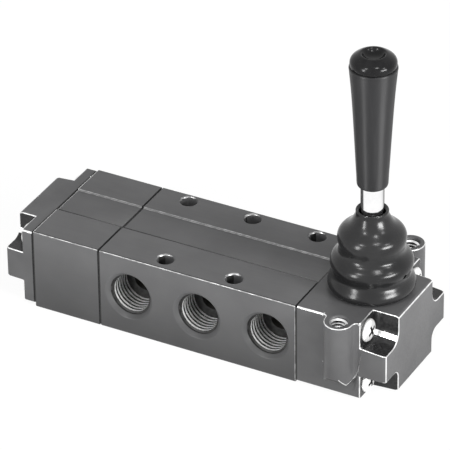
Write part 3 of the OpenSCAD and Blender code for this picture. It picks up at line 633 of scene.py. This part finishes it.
cap_rings = [(5.0, gt - 10), (5.0, gt + 0.08), (8.2, gt + 0.08), (8.5, gt + 0.1), (8.66, gt + 0.5), (8.78, gt + 1.3),
             (8.72, gt + 2.2), (8.3, gt + 3.1), (7.5, gt + 3.9), (6.4, gt + 4.6), (5.3, cap_top - 0.12),
             (4.7, cap_top - 0.02), (4.35, cap_top - 0.2), (3.9, cap_top - 0.9), (3.1, cap_top - 1.7),
             (1.9, cap_top - 2.1), (0.5, cap_top - 2.2)]
knob_cap = turned("grip_knob_cap", cap_rings, 64)
apply_modifier(knob_cap, "SUBSURF", levels=1, render_levels=1)
settle(knob_cap, 50)
knob_cap.data.materials.append(cap_gloss)
for piece, node in ((knob, "handle_grip"), (knob_cap, "grip_cap")):
    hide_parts(node)
    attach(piece, "lever")

# %% [markdown]
# ## Pan-head screws
# One screw grows from rings: a shank, a flat bearing face and a low rounded head.
# Two tapered blades cut the cross recess, whose faces take painted shade.
# The finished screw is copied to its four places at each end, each copy turned a little differently.

# %% Model one screw
def one_screw(name, shank):
    rings = [(1.7, -shank), (2.35, -shank + 0.7), (2.4, -1), (2.4, -0.05), (4.45, 0), (4.5, 0.12), (4.48, 0.6), (4.3, 1.05),
             (3.9, 1.45), (3.3, 1.75), (2.4, 1.95), (1.2, 2.06), (0.3, 2.08)]
    screw = turned(name, rings, 40, centre=0)
    for turn in (0, math.pi / 2):
        bpy.ops.object.select_all(action="DESELECT")
        bpy.ops.mesh.primitive_cube_add(size=1, location=(0, 0, 1.6 * MM))
        blade = bpy.context.object
        blade.scale = (6.0 * MM, 1.35 * MM, 2 * MM)
        bpy.ops.object.transform_apply(location=True, rotation=True, scale=True)
        start_edit(blade)
        pick(blade, "FACE", lambda f: f.normal.z < -0.9)
        bpy.ops.transform.resize(value=(0.45, 0.6, 1), center_override=(0, 0, 0.6 * MM))
        end_edit()
        blade.rotation_euler = (0, 0, turn)
        only(blade)
        bpy.ops.object.transform_apply(location=True, rotation=True, scale=True)
        apply_modifier(screw, "BOOLEAN", operation="DIFFERENCE", object=blade, solver="EXACT")
        bpy.data.objects.remove(blade)
    screw.data.materials.clear()
    screw.data.materials.append(zinc)
    screw.data.materials.append(painted_bore_shade)
    # The faces inside the recess take painted shade.
    for face in screw.data.polygons:
        spread = math.hypot(face.center.x, face.center.y)
        inside = 0.5 * MM < face.center.z < 1.9 * MM and spread < 3.2 * MM
        face.material_index = 1 if inside and (face.normal.z < 0.7 or face.center.z < 0.8 * MM) else 0
    return screw


# %% Copy it to both ends
def screw_group(node, name, way, turns):
    low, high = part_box(node)
    seat = low[0] + 2.6 * MM if way < 0 else high[0] - 2.6 * MM
    screw = one_screw(name, (high[0] - low[0]) / MM - 2.6)
    spots = [(y, z) for y in (low[1] + 4.5 * MM, high[1] - 4.5 * MM) for z in (low[2] + 4.5 * MM, high[2] - 4.5 * MM)]
    group = []
    for (y, z), turn in zip(spots, turns):
        only(screw)
        bpy.ops.object.duplicate()
        twin = bpy.context.object
        twin.rotation_euler = (Quaternion((0, 1, 0), way * math.pi / 2) @ Quaternion((0, 0, 1), math.radians(turn))).to_euler()
        twin.location = (seat, y, z)
        settle(twin, 40)
        group.append(twin)
    bpy.data.objects.remove(screw)
    only(group[0])
    for twin in group:
        twin.select_set(True)
    bpy.ops.object.join()
    piece = bpy.context.object
    piece.name = name
    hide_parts(node)
    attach(piece, "valve_body")


screw_group("cap_screws", "cap_pan_screws", -1, (10, 35, 60, 20))
screw_group("lever_housing_screws", "lever_housing_pan_screws", 1, (15, 24, 70, 40))

# %% [markdown]
# ## Threads in the ports and bosses
# The CAD holes are plain bores at the thread's root, so the ridge is added here as one coil each.
# A small square is the ridge's section: its inner side is drawn together to a narrow crest.
# A Screw modifier winds it down the hole. In the ports the crest is worn bright and the flanks take painted shade.
# In the small holes from above, the flank that faces the mouth gets a painted highlight and the rest painted shade.

# %% Wind one thread and copy it into each hole
def thread(name, root, depth, pitch, length, crest, shine, shines):
    bpy.ops.object.select_all(action="DESELECT")
    bpy.ops.mesh.primitive_circle_add(vertices=4, radius=1, location=(0, 0, 0), rotation=(math.pi / 2, 0, 0))
    piece = bpy.context.object
    piece.name = name
    bpy.ops.object.transform_apply(rotation=True)
    start_edit(piece)
    bpy.ops.transform.rotate(value=math.pi / 4, orient_axis="Y", center_override=(0, 0, 0))
    half = math.sqrt(0.5)
    bpy.ops.transform.resize(value=(depth * MM / 2 / half, 1, pitch * 0.47 * MM / half), center_override=(0, 0, 0))
    pick(piece, "VERT", lambda v: v.co.x < 0)
    bpy.ops.transform.resize(value=(1, 1, crest / 2 / (pitch * 0.47)), center_override=(0, 0, 0))
    bpy.ops.mesh.select_all(action="SELECT")
    bpy.ops.transform.translate(value=((root - depth / 2 + 0.04) * MM, 0, pitch * MM / 2))
    end_edit()
    turns = int(length / pitch) - 1
    apply_modifier(piece, "SCREW", axis="Z", angle=2 * math.pi, screw_offset=pitch * MM, iterations=turns, steps=40,
                   render_steps=40, use_merge_vertices=False)
    start_edit(piece)
    bpy.ops.mesh.select_all(action="DESELECT")
    bpy.ops.mesh.select_non_manifold()
    bpy.ops.mesh.fill_holes(sides=0)
    bpy.ops.mesh.select_all(action="SELECT")
    bpy.ops.mesh.normals_make_consistent(inside=False)
    end_edit()
    piece.data.materials.append(shine)
    piece.data.materials.append(painted_bore_shade)
    for face in piece.data.polygons:
        inward = -(face.normal.x * face.center.x + face.normal.y * face.center.y) / math.hypot(face.center.x, face.center.y)
        face.material_index = 0 if shines(inward, -face.normal.z) else 1
    return piece


def copies(piece, places, name):
    made = []
    for number, (place, turn) in enumerate(places, 1):
        only(piece)
        bpy.ops.object.duplicate()
        twin = bpy.context.object
        twin.name = f"{name}_{number}"
        twin.rotation_euler = turn
        twin.location = place
        settle(twin, 30)
        made.append(twin)
    bpy.data.objects.remove(piece)
    return made


port_pitch = 29.2 * MM
port_sink = 1.6 * MM
front = (-math.pi / 2, 0, 0)
rear = (math.pi / 2, 0, 0)
port_places = [((x * port_pitch, front_y + port_sink, spool_z), front) for x in (-1, 0, 1)]
port_places += [((x * port_pitch, rear_y - port_sink, spool_z), rear) for x in (-0.5, 0.5)]
# Port crests are bare cut metal; their flanks take painted shade.
port_coil = thread("port_coil", 8.55, 0.85, 1.75, 12.3, 0.85, cut_metal,
                   lambda inward, outward: inward > 0.9)
threads = copies(port_coil, port_places, "port_thread")
boss_places = [((lever_x, y * MM, casting_top - 0.1 * MM), (math.pi, 0, 0)) for y in boss_ys]
# The flank that faces up to the mouth gets a painted highlight; the rest painted shade.
boss_coil = thread("boss_coil", 3.4, 0.75, 1.4, 13.4, 0.3, bare_edge_and_highlight, lambda inward, outward: outward > 0.3)
threads += copies(boss_coil, boss_places, "boss_thread")
for piece in threads:
    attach(piece, "valve_body")

# %% [markdown]
# ## Floor, light and camera
# A pale floor keeps the soft shadow, and reads as white to the camera, to reflections and to glass.
# Broad lamps from the front, the right and above give the plain level at which a colour shows as written.

# %% A pale floor and a white surround
def seen_directly(tree):
    path = tree.nodes.new("ShaderNodeLightPath")
    total = path.outputs["Is Camera Ray"]
    for ray in ("Is Glossy Ray", "Is Transmission Ray"):
        add = tree.nodes.new("ShaderNodeMath")
        add.operation = "ADD"
        add.use_clamp = True
        tree.links.new(total, add.inputs[0])
        tree.links.new(path.outputs[ray], add.inputs[1])
        total = add.outputs[0]
    return total


bpy.ops.object.select_all(action="DESELECT")
bpy.ops.mesh.primitive_plane_add(size=60, location=(0, 0, -0.2 * MM))
floor = bpy.context.object
floor.name = "floor"
pale = new_finish("pale_floor", (0.82, 0.82, 0.82), 0.9, Specular_IOR_Level=0.0)
nodes, links = pale.node_tree.nodes, pale.node_tree.links
lift = nodes.new("ShaderNodeEmission")
lift.inputs["Color"].default_value = (1, 1, 1, 1)
lift.inputs["Strength"].default_value = 1.08
share = nodes.new("ShaderNodeMath")
share.operation = "MULTIPLY"
share.inputs[1].default_value = 0.85
mix = nodes.new("ShaderNodeMixShader")
links.new(seen_directly(pale.node_tree), share.inputs[0])
links.new(share.outputs[0], mix.inputs["Fac"])
links.new(nodes["Principled BSDF"].outputs[0], mix.inputs[1])
links.new(lift.outputs[0], mix.inputs[2])
links.new(mix.outputs[0], nodes["Material Output"].inputs["Surface"])
floor.data.materials.append(pale)

scene = bpy.context.scene
world = bpy.data.worlds.new("studio")
scene.world = world
world.use_nodes = True
room = world.node_tree.nodes["Background"]
room.inputs["Color"].default_value = (1, 1, 1, 1)
room.inputs["Strength"].default_value = 0.12
white = world.node_tree.nodes.new("ShaderNodeBackground")
white.inputs["Color"].default_value = (1, 1, 1, 1)
white.inputs["Strength"].default_value = 1.0
world_mix = world.node_tree.nodes.new("ShaderNodeMixShader")
world.node_tree.links.new(seen_directly(world.node_tree), world_mix.inputs["Fac"])
world.node_tree.links.new(room.outputs[0], world_mix.inputs[1])
world.node_tree.links.new(white.outputs[0], world_mix.inputs[2])
world.node_tree.links.new(world_mix.outputs[0], world.node_tree.nodes["World Output"].inputs["Surface"])

# %% Soft lamps
def soft_lamp(name, place, target, size, power):
    lamp = bpy.data.lights.new(name, "AREA")
    lamp.shape = "RECTANGLE"
    lamp.size, lamp.size_y = size
    lamp.energy = power
    holder = bpy.data.objects.new(name, lamp)
    scene.collection.objects.link(holder)
    holder.location = place
    holder.rotation_euler = (Vector(target) - Vector(place)).to_track_quat("-Z", "Y").to_euler()
    return holder


def lamp_place(azimuth, elevation, distance):
    turn, lift = math.radians(azimuth), math.radians(elevation)
    return (distance * math.sin(turn) * math.cos(lift), -distance * math.cos(turn) * math.cos(lift),
            0.04 + distance * math.sin(lift))


aim = (0, 0, 0.04)
soft_lamp("right_lamp", lamp_place(76, 15, 1.6), aim, (0.7, 0.4), 26)
soft_lamp("front_lamp", lamp_place(-18, 10, 1.7), aim, (0.3, 1.0), 19)
soft_lamp("sparkle_high", lamp_place(53, 58, 1.6), aim, (0.26, 0.26), 4)
soft_lamp("sparkle_right", lamp_place(84, 38, 1.6), aim, (0.2, 0.2), 2.5)
soft_lamp("sparkle_left", lamp_place(-12, 44, 1.6), aim, (0.22, 0.22), 4)
rear_lamp = soft_lamp("rear_lamp", lamp_place(215, 3, 1.6), aim, (0.8, 0.2), 24)
rear_lamp.visible_glossy = False      # it fills the shadow side without glints on the glossy black pieces

# %% A long lens at the photograph's angle
azimuth, elevation, roll = math.radians(28.56), math.radians(32.41), math.radians(0.78)
distance, lens = 1.6, 339.8
target = Vector((-1.11 * MM, 0, 42.77 * MM))
back = Vector((math.sin(azimuth) * math.cos(elevation), -math.cos(azimuth) * math.cos(elevation), math.sin(elevation)))
camera_data = bpy.data.cameras.new("photo_camera")
camera = bpy.data.objects.new("photo_camera", camera_data)
scene.collection.objects.link(camera)
camera.location = target + back * distance
facing = (-back).to_track_quat("-Z", "Y") @ Quaternion((0, 0, 1), -roll)
camera.rotation_euler = facing.to_euler()
camera_data.lens = lens
camera_data.sensor_width = 36
camera_data.clip_end = 100
scene.camera = camera
scene.view_settings.view_transform = "Standard"
